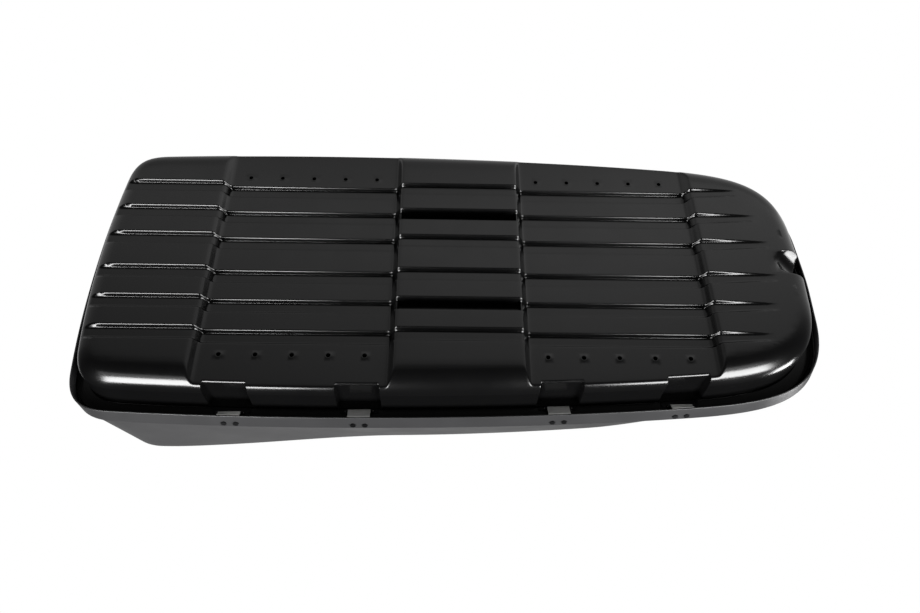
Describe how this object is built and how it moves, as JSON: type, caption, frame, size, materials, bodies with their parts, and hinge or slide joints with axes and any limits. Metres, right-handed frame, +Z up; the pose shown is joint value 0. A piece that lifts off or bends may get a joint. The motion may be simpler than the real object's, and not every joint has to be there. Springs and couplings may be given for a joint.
{
  "type": "roof box",
  "caption": "Long car roof box with a ribbed base and a side-hinged lid that locks along the other side, for carrying luggage on crossbars.",
  "frame": {"origin": "on the underside's flat centre rib, midway along and across the box", "axes": "+X to the tapered nose, +Y to the hinge side, +Z up through the lid; the picture shows the box upside down on its lid, seen from the +Y side"},
  "size_m": [1.993, 0.8562, 0.4036],
  "materials": {
    "base_plastic": "satin black thermoformed plastic with a fine grain",
    "lid_plastic": "satin black thermoformed plastic",
    "zinc_steel": "zinc plated",
    "dark_steel": "black coated",
    "lock_plastic": "matte black"
  },
  "bodies": {
    "base": {"base_shell": "base_plastic", "hinge_1_leaf": "dark_steel", "hinge_1_pin": "zinc_steel", "hinge_1_leaf_rivet_1": "dark_steel", "hinge_1_leaf_rivet_2": "dark_steel", "hinge_2_leaf": "dark_steel", "hinge_2_pin": "zinc_steel", "hinge_2_leaf_rivet_1": "dark_steel", "hinge_2_leaf_rivet_2": "dark_steel", "hinge_3_leaf": "dark_steel", "hinge_3_pin": "zinc_steel", "hinge_3_leaf_rivet_1": "dark_steel", "hinge_3_leaf_rivet_2": "dark_steel", "hinge_4_leaf": "dark_steel", "hinge_4_pin": "zinc_steel", "hinge_4_leaf_rivet_1": "dark_steel", "hinge_4_leaf_rivet_2": "dark_steel", "lock_1_striker": "zinc_steel", "lock_1_striker_rivet": "dark_steel", "lock_2_striker": "zinc_steel", "lock_2_striker_rivet": "dark_steel", "lock_3_striker": "zinc_steel", "lock_3_striker_rivet": "dark_steel"},
    "lid": {"lid_shell": "lid_plastic", "hinge_1_strap": "zinc_steel", "hinge_1_strap_rivet_1": "dark_steel", "hinge_1_strap_rivet_2": "dark_steel", "hinge_2_strap": "zinc_steel", "hinge_2_strap_rivet_1": "dark_steel", "hinge_2_strap_rivet_2": "dark_steel", "hinge_3_strap": "zinc_steel", "hinge_3_strap_rivet_1": "dark_steel", "hinge_3_strap_rivet_2": "dark_steel", "hinge_4_strap": "zinc_steel", "hinge_4_strap_rivet_1": "dark_steel", "hinge_4_strap_rivet_2": "dark_steel", "lock_1_housing": "lock_plastic", "lock_2_housing": "lock_plastic", "lock_3_housing": "lock_plastic"},
    "lock_1": {"lock_1_barrel": "zinc_steel", "lock_1_cam": "zinc_steel"},
    "lock_2": {"lock_2_barrel": "zinc_steel", "lock_2_cam": "zinc_steel"},
    "lock_3": {"lock_3_barrel": "zinc_steel", "lock_3_cam": "zinc_steel"}
  },
  "joints": [
    {"name": "lid_hinge", "type": "hinge", "parent": "base", "child": "lid", "pos_m": [0.00725, 0.38624, 0.118], "axis": [-0.9997, 0.025, 0], "range_deg": [0, 55]},
    {"name": "lock_1_turn", "type": "hinge", "parent": "lid", "child": "lock_1", "pos_m": [-0.6, -0.41751, 0.116], "axis": [0, 1, 0], "range_deg": [0, 90]},
    {"name": "lock_2_turn", "type": "hinge", "parent": "lid", "child": "lock_2", "pos_m": [0, -0.41725, 0.116], "axis": [0, 1, 0], "range_deg": [0, 90]},
    {"name": "lock_3_turn", "type": "hinge", "parent": "lid", "child": "lock_3", "pos_m": [0.56, -0.39082, 0.116], "axis": [0, 1, 0], "range_deg": [0, 90]}
  ]
}
